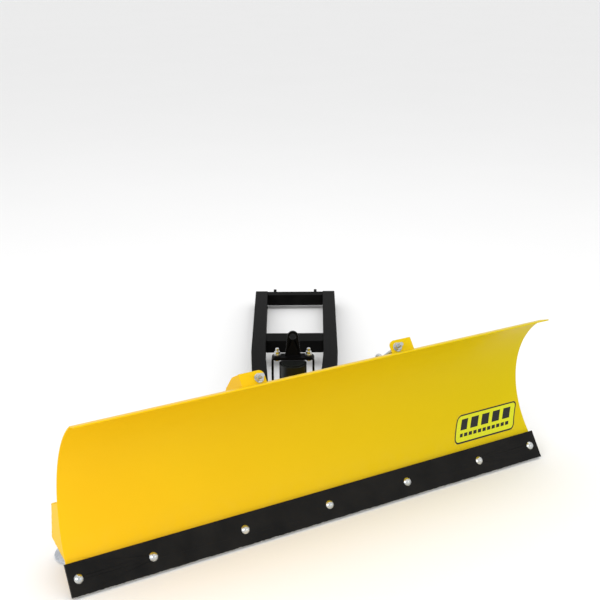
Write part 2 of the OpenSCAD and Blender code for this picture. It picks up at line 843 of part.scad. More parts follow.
// Plan of a nose plate: round at the kingpin, spread to the tubes behind
module nose_plan(shoulder) {
    front = [34, -24];
    rear = slope_start - 2;
    circle(40);
    polygon([[-front[0], front[1]], front, shoulder, [shoulder[0], shoulder[1] + 50],
        [tube_in(tube_start) + tube, tube_start + 4], [tube_in(rear) + tube, rear],
        [-tube_in(rear) - tube, rear], [-tube_in(tube_start) - tube, tube_start + 4],
        [-shoulder[0], shoulder[1] + 50], [-shoulder[0], shoulder[1]]]);
}

module nose_plate_top() {
    color(black) at_kingpin() difference() {
        translate([0, 0, tube_top]) difference() {
            linear_extrude(plate_t) nose_plan([foot_x + 6, 4]);
            translate([0, 0, -1]) cylinder(r = kingpin_r + 3.5, h = plate_t + 2);
        }
        arch_bolt_axes() translate([0, 0, -plate_t - 1]) cylinder(r = 3 + seat, h = plate_t + 2);
    }
}

module nose_plate_bottom() {
    color(black) at_kingpin() translate([0, 0, nose_low - plate_t]) difference() {
        linear_extrude(plate_t) nose_plan([60, 20]);
        translate([0, 0, -1]) cylinder(r = kingpin_r + 3.5, h = plate_t + 2);
    }
}

module nose_bushes() {
    color([0.62, 0.48, 0.25]) at_kingpin() for (z = [nose_low - plate_t, tube_top]) translate([0, 0, z])
        difference() {
            cylinder(r = kingpin_r + 3.5, h = plate_t);
            translate([0, 0, -1]) cylinder(r = kingpin_r + run_fit, h = plate_t + 2);
        }
}

module thrust_washers() {
    color([0.62, 0.48, 0.25]) at_kingpin() for (z = [nose_low, tube_top - thrust_t]) translate([0, 0, z])
        difference() {
            cylinder(r = hub_r - 2, h = thrust_t);
            translate([0, 0, -1]) cylinder(r = kingpin_r + 0.5, h = thrust_t + 2);
        }
}

// ---- angle drive and lift arch ----

// Places the screws round the gearbox's flange
module screw_ring() {
    for (turn = [20:45:335]) rotate([0, 0, turn]) translate([gearbox_r - 4, 0, 0]) children();
}

module gearbox() {
    color([0.16, 0.16, 0.17]) at_kingpin() translate([0, 0, deck]) difference() {
        union() {
            cylinder(r = gearbox_r, h = 10);
            cylinder(r = gearbox_r - 8, h = gearbox_h);
        }
        translate([0, 0, -1]) cylinder(r = kingpin_r + 4, h = 21);
        screw_ring() translate([0, 0, 2]) cylinder(r = 1.5 + seat, h = 20);
    }
}

module gearbox_screws() {
    color(zinc) at_kingpin() translate([0, 0, deck]) screw_ring() {
        translate([0, 0, 2.1]) cylinder(r = 1.5, h = 9);
        translate([0, 0, 10]) cylinder(r = 3, h = 3);
    }
}

module motor() {
    color([0.1, 0.1, 0.11]) at_kingpin() translate([0, 0, motor_low]) difference() {
        cylinder(r = motor_r, h = motor_h - cap_h);
        translate([0, 0, 8]) cylinder(r = motor_r - 3, h = motor_h - cap_h);
    }
}

module motor_end_cap() {
    low = motor_low + motor_h - cap_h;
    color([0.18, 0.18, 0.19]) at_kingpin() translate([0, 0, low]) {
        cylinder(r = motor_r, h = cap_h - 3);
        translate([0, 0, cap_h - 3]) cylinder(r = motor_r - 6, h = 2);
        for (side = [-1, 1]) translate([side * (motor_r - 3), 0, cap_h - 3]) hex(5, 2.5);
    }
}

// Front view of the strap: two legs with feet and a top with round corners
module arch_outline() {
    difference() {
        union() {
            translate([-foot_x, deck]) square([2 * foot_x, strap_t]);
            translate([-leg_x, deck]) square([2 * leg_x, arch_z - arch_corner_r - deck]);
            translate([-leg_x + arch_corner_r, deck]) square([2 * (leg_x - arch_corner_r), arch_z - deck]);
            for (side = [-1, 1]) translate([side * (leg_x - arch_corner_r), arch_z - arch_corner_r])
                circle(arch_corner_r);
        }
        translate([-leg_x + strap_t, deck - 1])
            square([2 * (leg_x - strap_t), arch_z - strap_top_t - deck + 1]);
    }
}

// Places the bolts in the arch's feet
module arch_bolt_axes() {
    for (side = [-1, 1], y = [10, strap_w - 10])
        translate([side * ((leg_x + foot_x) / 2 + 1), y, deck]) children();
}

module lift_arch() {
    color(black) at_kingpin() difference() {
        translate([0, strap_w, 0]) rotate([90, 0, 0]) linear_extrude(strap_w) arch_outline();
        for (side = [-1, 1]) translate([side * stud_x, stud_y, arch_z - 20]) cylinder(r = 5, h = 40);
        arch_bolt_axes() translate([0, 0, -1]) cylinder(r = 3 + bolt_play, h = strap_t + 2);
    }
}

// Hex heads on the feet, shanks screwed into the top plate
module arch_bolts() {
    color(zinc) at_kingpin() arch_bolt_axes() {
        translate([0, 0, -plate_t + 1]) cylinder(r = 3, h = plate_t + strap_t);
        translate([0, 0, strap_t]) hex(10, 5);
    }
}

module lift_lug() {
    color(black) at_kingpin() translate([0, strap_w / 2 + lug_t / 2, 0]) rotate([90, 0, 0])
        linear_extrude(lug_t) difference() {
            union() {
                translate([0, lug_z - lug_r]) circle(lug_r);
                polygon([[-19, arch_z], [19, arch_z], [lug_r, lug_z - lug_r], [-lug_r, lug_z - lug_r]]);
            }
            translate([0, lug_z - lug_r]) circle(lug_hole_d / 2);
        }
}

module terminal_insulators() {
    color([0.05, 0.05, 0.05]) at_kingpin() for (side = [-1, 1]) translate([side * stud_x, stud_y, 0])
        difference() {
            union() {
                translate([0, 0, arch_z]) cylinder(r = 9, h = 3);
                translate([0, 0, arch_z - strap_top_t]) cylinder(r = 4.9, h = strap_top_t);
                translate([0, 0, arch_z - strap_top_t - 3]) cylinder(r = 7.5, h = 3);
            }
            cylinder(r = stud_r + seat, h = 500);
        }
}

// Threaded studs with a washer and a nut on top and a head below
module terminal_studs() {
    low = arch_z - strap_top_t - 3;
    color(zinc) at_kingpin() for (side = [-1, 1]) translate([side * stud_x, stud_y, 0]) {
        translate([0, 0, low]) cylinder(r = stud_r, h = 28);
        translate([0, 0, low - 3]) cylinder(r = 6, h = 3);
        translate([0, 0, arch_z + 3]) cylinder(r = 8, h = 1.6);
        translate([0, 0, arch_z + 4.6]) hex(12, 6.5);
    }
}

moldboard();
decal();
wear_bar();
wear_bar_bolts();
wear_bar_washers();
wear_bar_nuts();
torsion_box();
box_ends();
main_ribs();
light_ribs();
trip_lugs();
spring_bracket(-1);  // spring_bracket_left
spring_bracket(1);  // spring_bracket_right
eye_bolt(-1);  // eye_bolt_left
eye_bolt(1);  // eye_bolt_right
eye_bolt_nuts();
eye_bolt_washers();
trip_pin(-1);  // trip_pin_left
trip_pin(1);  // trip_pin_right
trip_pin_clips();
skid_sleeve(-1);  // skid_sleeve_left
skid_sleeve(1);  // skid_sleeve_right
skid_set_bolts();
skid_shoe(-1);  // skid_shoe_left
skid_shoe(1);  // skid_shoe_right
skid_stem(-1);  // skid_stem_left
skid_stem(1);  // skid_stem_right
stem_ring(-1);  // stem_ring_left
stem_ring(1);  // stem_ring_right
swivel_beam();
swivel_hub();
trip_arms();
spring_anchors();
trip_stops();
kingpin();
shaft_key();
castle_nut();
split_pin();
trip_spring(-1);  // trip_spring_left
trip_spring(1);  // trip_spring_right
push_tube(-1);  // push_tube_left
push_tube(1);  // push_tube_right
tube_caps();
cross_member();
hitch_bar();
hitch_ears();
hitch_bushes();
nose_plate_top();
nose_plate_bottom();
nose_bushes();
thrust_washers();
gearbox();
gearbox_screws();
motor();
motor_end_cap();
lift_arch();
arch_bolts();
lift_lug();
terminal_insulators();
terminal_studs();
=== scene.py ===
import json
import math

import bpy
from mathutils import Matrix, Vector, noise


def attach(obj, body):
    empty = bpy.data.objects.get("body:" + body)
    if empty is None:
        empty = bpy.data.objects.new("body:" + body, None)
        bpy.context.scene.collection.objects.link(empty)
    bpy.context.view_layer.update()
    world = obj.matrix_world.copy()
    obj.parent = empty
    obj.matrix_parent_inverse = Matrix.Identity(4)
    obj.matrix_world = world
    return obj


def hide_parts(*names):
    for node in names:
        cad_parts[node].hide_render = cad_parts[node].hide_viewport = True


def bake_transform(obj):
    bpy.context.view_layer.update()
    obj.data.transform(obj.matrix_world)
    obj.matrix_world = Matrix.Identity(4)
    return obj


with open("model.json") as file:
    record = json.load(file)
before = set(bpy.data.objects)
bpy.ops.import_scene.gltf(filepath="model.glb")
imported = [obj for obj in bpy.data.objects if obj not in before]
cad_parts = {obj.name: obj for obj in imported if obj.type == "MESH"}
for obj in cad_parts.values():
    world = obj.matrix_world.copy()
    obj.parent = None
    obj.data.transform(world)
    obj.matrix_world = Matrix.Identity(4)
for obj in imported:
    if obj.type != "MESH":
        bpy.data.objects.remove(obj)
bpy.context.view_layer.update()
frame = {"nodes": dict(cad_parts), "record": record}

nodes = frame["nodes"]

# ---- the plow's own measures, in millimetres, as the CAD has them ----
REACH, EAR_R, YAW = 1400.0, 26.0, math.radians(29.25)
EDGE, BLADE_W, END_INSET, END_TAPER, BLADE_H = 197.0, 1270.0, 0.5, 26.0, 401.2
LEAN, FACE_R, SHEET_T, FLAT_TOP = math.radians(36), 225.0, 3.0, 73.0
BAR_T, BAR_H = 9.5, 72.0
BOX_BACK, BOX_TOP, BOX_DROP, BOX_H = 148.0, 176.0, 24.0, 80.0
BOX_INSET = 1.0
TAB_BACK, TAB_Z, SPRING_X, SPRING_FALL = 24.0, 396.0, 181.0, math.radians(39)
RIB_X, RIB_T, LIGHT_X, LIGHT_W = 225.0, 6.0, 430.0, 26.0

UP = (math.sin(LEAN), math.cos(LEAN))
INTO = (math.cos(LEAN), -math.sin(LEAN))
FOOT = (BAR_T * math.cos(LEAN), 0.0)
START = (FOOT[0] + UP[0] * FLAT_TOP / UP[1], FLAT_TOP)
CENTRE = (START[0] - INTO[0] * FACE_R, START[1] - INTO[1] * FACE_R)
BACK_R = FACE_R + SHEET_T


def kingpin(x, y, z):
    """A point given round the kingpin, on the floor, in the row frame in metres."""
    return Vector((x, y - REACH, z - EAR_R)) / 1000


def blade(s, n, z):
    """A point s along the blade, n behind the cutting edge and z above the floor."""
    v = n - EDGE
    return kingpin(s * math.cos(YAW) - v * math.sin(YAW), s * math.sin(YAW) + v * math.cos(YAW), z)


def swivel(s, v, z):
    return blade(s, v + EDGE, z)


ALONG = blade(1, 0, 0) - blade(0, 0, 0)
ALONG.normalize()
BEHIND = blade(0, 1, 0) - blade(0, 0, 0)
BEHIND.normalize()
SPRING_AXIS = (BEHIND * math.cos(SPRING_FALL) - Vector((0, 0, math.sin(SPRING_FALL)))).normalized()


def back_n(z):
    """How far behind the edge the back of the sheet is at height z."""
    if z < FLAT_TOP - SHEET_T * UP[0]:
        return FOOT[0] + SHEET_T / UP[1] + z * UP[0] / UP[1]
    return CENTRE[0] + math.sqrt(BACK_R ** 2 - (z - CENTRE[1]) ** 2)


def end_x(z):
    return BLADE_W / 2 - END_INSET - END_TAPER * z / BLADE_H


# ---- node materials ----


def put(tree, node, key, value):
    if isinstance(value, bpy.types.NodeSocket):
        tree.links.new(value, node.inputs[key])
    elif value is not None:
        node.inputs[key].default_value = value


class Mat:
    """A material with a Principled shader and short ways to add nodes."""

    def __init__(self, name, **fixed):
        self.m = bpy.data.materials.new(name)
        self.m.use_nodes = True
        self.t = self.m.node_tree
        self.t.nodes.clear()
        self.out = self.t.nodes.new("ShaderNodeOutputMaterial")
        self.p = self.t.nodes.new("ShaderNodeBsdfPrincipled")
        self.t.links.new(self.p.outputs[0], self.out.inputs[0])
        self.co = self.t.nodes.new("ShaderNodeTexCoord").outputs["Object"]
        for key, value in fixed.items():
            self.p.inputs[key.replace("_", " ")].default_value = value

    def set(self, key, value):
        put(self.t, self.p, key, value)

    def add(self, kind, inputs=(), **attrs):
        node = self.t.nodes.new(kind)
        for k, v in attrs.items():
            setattr(node, k, v)
        for k, v in dict(inputs).items():
            put(self.t, node, k, v)
        return node

    def math(self, op, a, b=None, clamp=False):
        inputs = {0: a} if b is None else {0: a, 1: b}
        return self.add("ShaderNodeMath", inputs, operation=op, use_clamp=clamp).outputs[0]

    def noise(self, scale, detail=2.0, rough=0.5, vector=None, distortion=0.0):
        return self.add("ShaderNodeTexNoise", {"Vector": vector or self.co, "Scale": scale, "Detail": detail,
                                               "Roughness": rough, "Distortion": distortion}).outputs["Fac"]

    def voronoi(self, scale, feature="F1", vector=None, out="Distance"):
        return self.add("ShaderNodeTexVoronoi", {"Vector": vector or self.co, "Scale": scale},
                        feature=feature).outputs[out]

    def ramp(self, value, low, high, to_low=0.0, to_high=1.0):
        return self.add("ShaderNodeMapRange", {"Value": value, "From Min": low, "From Max": high,
                                               "To Min": to_low, "To Max": to_high}).outputs[0]

    def mix(self, factor, a, b):
        node = self.add("ShaderNodeMix", data_type="RGBA")
        put(self.t, node, 0, factor)
        put(self.t, node, 6, a if isinstance(a, bpy.types.NodeSocket) else (*a, 1))
        put(self.t, node, 7, b if isinstance(b, bpy.types.NodeSocket) else (*b, 1))
        return node.outputs[2]

    def dot(self, direction, origin=(0, 0, 0), scale=1.0):
        """Distance along a direction from a point, times scale."""
        off = self.add("ShaderNodeVectorMath", {0: self.co, 1: tuple(origin)},
                       operation="SUBTRACT").outputs[0]
        d = self.add("ShaderNodeVectorMath", {0: off, 1: tuple(Vector(direction) * scale)},
                     operation="DOT_PRODUCT")
        return d.outputs["Value"]

    def stretch(self, x, y, z):
        """Coordinates squeezed along blade, behind and up, for grain and scuffs."""
        parts = [self.dot(ALONG, scale=x), self.dot(BEHIND, scale=y), self.dot((0, 0, 1), scale=z)]
        return self.add("ShaderNodeCombineXYZ", dict(enumerate(parts))).outputs[0]

    def bump(self, *layers, distance=0.0004):
        """Layers are (height, strength) and stack."""
        last = None
        for height, strength in layers:
            inputs = {"Height": height, "Strength": strength, "Distance": distance}
            if last:
                inputs["Normal"] = last
            last = self.add("ShaderNodeBump", inputs).outputs[0]
        self.set("Normal", last)


FLOOR_Z = -EAR_R / 1000


def paint(name, base, shade, rough, peel=0.25, shine=0.25, dust=0.25, side=None):
    """Powder coat: orange peel, faint drift of tone, fine scuffs and dust low down; given side, a painted shade
    that runs along the blade into the side colour at the right end.
    """
    m = Mat(name, Specular_IOR_Level=shine)
    drift = m.noise(3.1, 3.0, 0.55)
    speck = m.noise(900.0, 2.0, 0.6)
    tone = m.mix(m.ramp(drift, 0.32, 0.68), base, shade)
    # painted shade: the colour slides along the blade from the lit left end to the darker, greener side colour at
    # the right end, away from the key light
    if side:
        tone = m.mix(m.ramp(m.dot(ALONG, blade(0, 0, 0)), -0.62, 0.62), tone, side)
    tone = m.mix(m.ramp(speck, 0.62, 0.8, 0.0, 0.10), tone, tuple(c * 0.6 for c in base))
    scuff = m.noise(1.0, 3.0, 0.6, m.stretch(9.0, 60.0, 260.0), 0.4)
    marks = m.ramp(scuff, 0.66, 0.74, 0.0, 1.0)
    low = m.ramp(m.dot((0, 0, 1), (0, 0, FLOOR_Z)), 0.0, 0.11, dust, 0.0)
    dirt = m.math("MULTIPLY", low, m.ramp(m.noise(26.0, 5.0, 0.7), 0.4, 0.75))
    tone = m.mix(dirt, tone, (0.42, 0.39, 0.33))
    m.set("Base Color", tone)
    r = m.math("ADD", m.ramp(drift, 0.2, 0.8, rough - 0.035, rough + 0.035), m.ramp(marks, 0, 1, 0.0, 0.10))
    m.set("Roughness", m.math("ADD", r, m.math("MULTIPLY", dirt, 0.4), clamp=True))
    m.bump((m.noise(330.0, 2.0, 0.5), peel), (m.noise(1500.0, 2.0, 0.5), peel * 0.5), (marks, -0.06))
    return m.m


def metal(name, base, tint, rough, grain=0.2, thread=None, dark=0.35, metallic=1.0):
    """Plated or bare metal with a drifting tint, stains and fine machining marks."""
    m = Mat(name, Metallic=metallic)
    cloud = m.noise(45.0, 3.0, 0.6)
    tone = m.mix(m.ramp(cloud, 0.35, 0.65), base, tint)
    stain = m.ramp(m.noise(160.0, 4.0, 0.65), 0.56, 0.72, 0.0, dark)
    tone = m.mix(stain, tone, tuple(c * 0.25 for c in base))
    m.set("Base Color", tone)
    m.set("Roughness", m.math("ADD", m.ramp(cloud, 0.2, 0.8, rough - 0.06, rough + 0.06),
                              m.math("MULTIPLY", stain, 0.3), clamp=True))
    layers = [(m.noise(1400.0, 3.0, 0.6), grain), (m.noise(220.0, 2.0, 0.5), grain * 0.6)]
    if thread:
        wave = m.math("SINE", m.dot(thread, scale=2 * math.pi / 0.0015))
        layers.append((wave, 0.8))
    m.bump(*layers, distance=0.0003)
    return m.m


# the third colour here is painted shade: the darker, greener yellow that the blade's right end takes on away from
# the key light
YELLOW, ORANGE, PAINTED_SHADE_YELLOW = (0.84, 0.50, 0.008), (0.82, 0.475, 0.007), (0.62, 0.48, 0.0015)
mats = {}
# the yellow paint carries a painted shade along the blade, darkening towards its right end
mats["yellow_paint"] = paint("yellow_powder_coat", YELLOW, ORANGE, 0.38, peel=0.12, shine=0.07, dust=0.08,
                             side=PAINTED_SHADE_YELLOW)
mats["black_paint"] = paint("black_powder_coat", (0.003, 0.003, 0.003), (0.005, 0.005, 0.005), 0.36,
                            peel=0.35, shine=0.006, dust=0.01)
mats["drive_housing"] = paint("black_enamel", (0.005, 0.006, 0.005), (0.010, 0.011, 0.010), 0.30, peel=0.2,
                              shine=0.22, dust=0.0)
mats["zinc"] = metal("bright_zinc", (0.62, 0.62, 0.59), (0.50, 0.53, 0.55), 0.24, dark=0.6)
mats["zinc_thread"] = metal("zinc_thread", (0.60, 0.60, 0.56), (0.48, 0.51, 0.53), 0.3, thread=SPRING_AXIS)
mats["steel"] = metal("bare_steel", (0.42, 0.42, 0.42), (0.34, 0.35, 0.36), 0.34)
mats["spring_steel"] = metal("spring_steel", (0.50, 0.49, 0.46), (0.40, 0.40, 0.40), 0.3, dark=0.5)
mats["bronze"] = metal("oiled_bronze", (0.52, 0.33, 0.14), (0.42, 0.28, 0.13), 0.3)


def wear_bar_material():
    """Black high-carbon bar: rolled grain, and steel showing through along the cutting edge."""
    m = Mat("black_wear_bar", Specular_IOR_Level=0.07)
    grain = m.noise(1.0, 4.0, 0.6, m.stretch(14.0, 300.0, 300.0))
    cloud = m.noise(14.0, 4.0, 0.6)
    tone = m.mix(m.ramp(cloud, 0.3, 0.7), (0.006, 0.006, 0.006), (0.012, 0.0115, 0.011))
    up = BEHIND * UP[0] + Vector((0, 0, UP[1]))
    height = m.dot(up, blade(0, 0, BAR_T * UP[0]), 1000.0)
    ragged = m.math("ADD", height, m.ramp(m.noise(120.0, 4.0, 0.7), 0.3, 0.7, -0.9, 0.9))
    bare = m.ramp(ragged, 1.4, 0.5, 0.0, 0.85)
    nick = m.ramp(m.noise(1.0, 3.0, 0.6, m.stretch(30.0, 140.0, 700.0)), 0.7, 0.76, 0.0, 0.5)
    tone = m.mix(nick, tone, (0.035, 0.034, 0.032))
    m.set("Base Color", m.mix(bare, tone, (0.42, 0.42, 0.41)))
    m.set("Metallic", m.math("MULTIPLY", bare, 0.9))
    m.set("Roughness", m.ramp(cloud, 0.25, 0.75, 0.40, 0.54))
    m.bump((grain, 0.25), (m.noise(500.0, 3.0, 0.6), 0.25), (nick, -0.3))
    return m.m


def skid_material():
    """Cast iron with a galvanised skin: spangle, pores and a polished rim."""
    m = Mat("galvanised_iron", Metallic=0.75)
    cell = m.voronoi(160.0, out="Color")
    tone = m.mix(m.add("ShaderNodeSeparateColor", {0: cell}).outputs[0],
                 (0.40, 0.43, 0.47), (0.52, 0.55, 0.60))
    worn = m.ramp(m.dot((0, 0, 1), (0, 0, FLOOR_Z), 1000.0), 1.0, 3.5, 1.0, 0.0)
    tone = m.mix(m.math("MULTIPLY", worn, m.noise(60.0, 3.0)), tone, (0.62, 0.61, 0.60))
    m.set("Base Color", tone)
    m.set("Roughness", m.ramp(m.noise(40.0, 4.0, 0.6), 0.3, 0.7, 0.38, 0.56))
    m.bump((m.noise(260.0, 4.0, 0.6), 0.4), (m.voronoi(160.0), 0.1))
    return m.m


def plain_dark(name, base, rough, scale):
    """Moulded plastic or rubber: fine grain, bloom and a slight mould texture."""
    m = Mat(name)
    bloom = m.noise(18.0, 4.0, 0.6)
    m.set("Base Color", m.mix(m.ramp(bloom, 0.35, 0.7), base, tuple(c * 1.9 + 0.004 for c in base)))
    m.set("Roughness", m.ramp(bloom, 0.3, 0.7, rough - 0.06, rough + 0.06))
    m.bump((m.noise(scale, 3.0, 0.6), 0.4), (m.voronoi(scale * 0.6), 0.15))
    return m.m


def weld_material(name, base, rough):
    """Paint over a weld bead: the bead's own ripples, spatter and a little more gloss."""
    m = Mat(name, Specular_IOR_Level=0.015)
    cloud = m.noise(60.0, 3.0, 0.6)
    m.set("Base Color", m.mix(m.ramp(cloud, 0.3, 0.7), base, tuple(c * 0.82 for c in base)))
    m.set("Roughness", m.ramp(cloud, 0.3, 0.7, rough - 0.05, rough + 0.08))
    m.bump((m.noise(420.0, 3.0, 0.6), 0.5), (m.noise(1300.0, 2.0, 0.5), 0.2))
    return m.m


def decal_material():
    """Gloss vinyl: a rounded slanted panel with a black outline, three bars and a chevron row."""
    m = Mat("striped_vinyl", Specular_IOR_Level=0.2)
    low = BAR_T * UP[0] + BAR_H * UP[1] + 8
    high = low + 64.0
    right = end_x(high) - 4.0
    zz = m.dot((0, 0, 1), blade(0, 0, (low + high) / 2), 1000.0)
    ss = m.dot(ALONG, blade(right - 115.0, 0, 0), 1000.0)
    ss = m.math("SUBTRACT", ss, m.math("MULTIPLY", zz, 33.0 / 64.0))

    def panel(half_x, half_z, corner):
        qx = m.math("SUBTRACT", m.math("ABSOLUTE", ss), half_x - corner)
        qz = m.math("SUBTRACT", m.math("ABSOLUTE", zz), half_z - corner)
        px, pz = m.math("MAXIMUM", qx, 0.0), m.math("MAXIMUM", qz, 0.0)
        out = m.math("SQRT", m.math("ADD", m.math("MULTIPLY", px, px), m.math("MULTIPLY", pz, pz)))
        inner = m.math("MINIMUM", m.math("MAXIMUM", qx, qz), 0.0)
        return m.math("SUBTRACT", m.math("ADD", out, inner), corner)

    edge = panel(97.5, 31.2, 13.0)
    on_panel = m.ramp(edge, 0.2, -0.2)
    field = m.ramp(edge, -3.1, -3.5)
    lemon = m.mix(m.ramp(m.noise(12.0, 3.0), 0.3, 0.7), (0.66, 0.68, 0.012), (0.60, 0.62, 0.010))

    def between(value, lo, hi, soft=0.25):
        return m.math("MULTIPLY", m.ramp(value, lo - soft, lo + soft), m.ramp(value, hi + soft, hi - soft))

    band = between(zz, -4.0, 20.0)
    bars = m.math("PINGPONG", m.math("ADD", ss, 1000.0), 17.5)
    bars = m.math("MULTIPLY", m.ramp(bars, 5.2, 5.8), band)
    bars = m.math("MULTIPLY", bars, between(ss, -81.0, 81.0))
    dash = m.math("PINGPONG", m.math("ADD", ss, 1000.0), 7.5)
    dash = m.math("MULTIPLY", m.ramp(dash, 1.8, 2.3), between(zz, -18.5, -11.0))
    dash = m.math("MULTIPLY", dash, between(ss, -81.0, 81.0))
    ink = m.math("MAXIMUM", bars, dash)
    ink = m.math("MAXIMUM", m.math("MULTIPLY", ink, field), m.math("SUBTRACT", 1.0, field), clamp=True)
    inked = m.mix(ink, lemon, (0.014, 0.014, 0.014))
    # off the panel: the yellow paint with the painted shade it has at this place near the blade's right end
    m.set("Base Color", m.mix(on_panel, SHADED_YELLOW_AT_DECAL, inked))
    m.set("Roughness", m.ramp(m.noise(30.0, 3.0), 0.3, 0.7, 0.24, 0.34))
    m.bump((m.noise(260.0, 2.0), 0.08))
    return m.m


# the yellow paint as it stands at the decal, mostly the painted shade of the blade's right end
SHADED_YELLOW_AT_DECAL = tuple(0.09 * a + 0.91 * b for a, b in zip(YELLOW, PAINTED_SHADE_YELLOW))
mats["bar_steel"] = wear_bar_material()
mats["skid_iron"] = skid_material()
mats["black_plastic"] = plain_dark("black_nylon", (0.012, 0.012, 0.012), 0.5, 600.0)
mats["rubber"] = plain_dark("black_rubber", (0.018, 0.018, 0.018), 0.72, 300.0)
mats["yellow_weld"] = weld_material("yellow_weld", (0.80, 0.50, 0.006), 0.36)
mats["black_weld"] = weld_material("black_weld", (0.004, 0.004, 0.004), 0.34)
mats["decal"] = decal_material()

SLOTS = {s["node"]: s["material_slot"] for s in frame["record"]["subparts"]}
for name, obj in nodes.items():
    kind = SLOTS[name]
    if name.startswith("eye_bolt_left") or name.startswith("eye_bolt_right"):
        kind = "zinc_thread"
    if name.startswith("trip_spring"):
        kind = "spring_steel"
    obj.data.materials.clear()
    obj.data.materials.append(mats[kind])

# ---- soft edges on the CAD pieces ----

EDGES = {"yellow_paint": 0.7, "black_paint": 1.0, "bar_steel": 0.6, "drive_housing": 0.8, "zinc": 0.35,
         "steel": 0.3, "skid_iron": 0.8, "black_plastic": 0.6, "rubber": 1.2}
for name, obj in nodes.items():
    width = EDGES.get(SLOTS[name])
    if name in ("push_tube_left", "push_tube_right", "cross_member", "hitch_bar", "swivel_beam"):
        width = 2.6
    for attribute in ("custom_normal",):
        found = obj.data.attributes.get(attribute)
        if found:
            obj.data.attributes.remove(found)
    obj.data.shade_smooth()
    weld = obj.modifiers.new("join", "WELD")
    weld.merge_threshold = 2e-6
    if width:
        bevel = obj.modifiers.new("edges", "BEVEL")
        bevel.width = width / 1000
        bevel.segments = 3 if width > 0.9 else 2
        bevel.limit_method = "ANGLE"
        bevel.angle_limit = math.radians(32)
        bevel.use_clamp_overlap = True
        bevel.miter_outer = "MITER_SHARP"
    normals = obj.modifiers.new("normals", "WEIGHTED_NORMAL")
    normals.mode = "FACE_AREA"
    normals.weight = 80
    normals.keep_sharp = True

# ---- pieces made here ----


def mesh_object(name, verts, faces, kind, smooth=True):
    me = bpy.data.meshes.new(name)
    me.from_pydata([tuple(v) for v in verts], [], faces)
    me.validate()
    me.update()
    obj = bpy.data.objects.new(name, me)
    bpy.context.scene.collection.objects.link(obj)
    me.materials.append(mats[kind])
    if smooth:
        me.shade_smooth()
    return obj


def sweep(points, radius_at, sides=10, closed=False):
    """A round tube along points, which turns with the path without twisting."""
    count = len(points)
    tangents = []
    for i in range(count):
        a = points[(i - 1) % count] if closed or i else points[0]
        b = points[(i + 1) % count] if closed or i < count - 1 else points[-1]
        tangents.append((b - a).normalized())
    normal = tangents[0].orthogonal().normalized()
    verts, faces = [], []
    for i, (p, t) in enumerate(zip(points, tangents)):
        normal = (normal - t * normal.dot(t)).normalized()
        side = t.cross(normal)
        r = radius_at(i)
        for k in range(sides):
            a = 2 * math.pi * k / sides
            verts.append(p + (normal * math.cos(a) + side * math.sin(a)) * r)
    for i in range(count - 1):
        for k in range(sides):
            a, b = i * sides + k, i * sides + (k + 1) % sides
            faces.append((a, b, b + sides, a + sides))
    faces.append(tuple(reversed(range(sides))))
    faces.append(tuple(range((count - 1) * sides, count * sides)))
    return verts, faces


def merge(parts):
    verts, faces = [], []
    for v, f in parts:
        base = len(verts)
        verts += v
        faces += [tuple(i + base for i in face) for face in f]
    return verts, faces


def spaced(corners, step):
    """Points about step apart along straight runs between corners."""
    out = [corners[0]]
    for a, b in zip(corners, corners[1:]):
        count = max(1, round((b - a).length / step))
        out += [a.lerp(b, (i + 1) / count) for i in range(count)]
    return out


def bead(corners, size, seed=0.0, pitch=3.2):
    """A weld bead: overlapping ripples that wander a little, tapered at both ends."""
    points = spaced(corners, pitch / 3000)
    last = len(points) - 1

    def radius(i):
        wave = 1.0 + 0.10 * (i % 3 - 1) + 0.14 * noise.noise(Vector((i * 0.31, seed, 0.5)))
        taper = min(1.0, 0.35 + i * 0.22, 0.35 + (last - i) * 0.22)
        return size / 1000 * wave * taper

    moved = [p + Vector((noise.noise(Vector((i * 0.17, seed, 3.0))), noise.noise(Vector((i * 0.17, seed, 7.0))),
                         noise.noise(Vector((i * 0.17, seed, 11.0))))) * 0.00035 for i, p in enumerate(points)]
    return sweep(moved, radius, 8)


def weld_piece(name, body, runs, kind, size=2.2):
    parts = [bead(run, size, seed=7.3 * i + len(name)) for i, run in enumerate(runs)]
    obj = mesh_object(name, *merge(parts), kind)
    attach(obj, body)
    return obj


def broken(a, b, length, gap):
    """Stitch runs between a and b: bead, gap, bead, and so on."""
    total = (b - a).length * 1000
    count = max(1, round((total + gap) / (length + gap)))
    pitch = (total + gap) / count
    return [[a.lerp(b, i * pitch / total), a.lerp(b, min(1, (i * pitch + pitch - gap) / total))]
            for i in range(count)]


# blade: ribs and lugs to the sheet, the box to the sheet, its ends and sleeves
def sheet_run(s, z_from, z_to, count=18):
    return [blade(s, back_n(z_from + (z_to - z_from) * i / count) + 0.3, z_from + (z_to - z_from) * i / count)
            for i in range(count + 1)]


rib_runs = []
for side in (-1, 1):
    for s in (RIB_X, RIB_X - RIB_T):
        rib_runs.append(sheet_run(side * s, BOX_TOP + 8, 352))
    for s in (LIGHT_X - RIB_T / 2, LIGHT_X + RIB_T / 2):
        rib_runs.append(sheet_run(side * s, BOX_TOP + 8, 328))
weld_piece("rib_welds", "blade", rib_runs, "yellow_weld", 2.4)

box_runs = []
low_z = BOX_TOP - BOX_DROP - BOX_H - 10.6
for z in (BOX_TOP + 2.2, low_z):
    n, end = back_n(z) + 0.4, end_x(z) - BOX_INSET - 6
    for a, b in ((-end, -RIB_X - 4), (-RIB_X + RIB_T + 4, RIB_X - RIB_T - 4), (RIB_X + 4, end)):
        box_runs += broken(blade(a, n, z), blade(b, n, z), 42, 68)
weld_piece("box_welds", "blade", box_runs, "yellow_weld", 2.3)

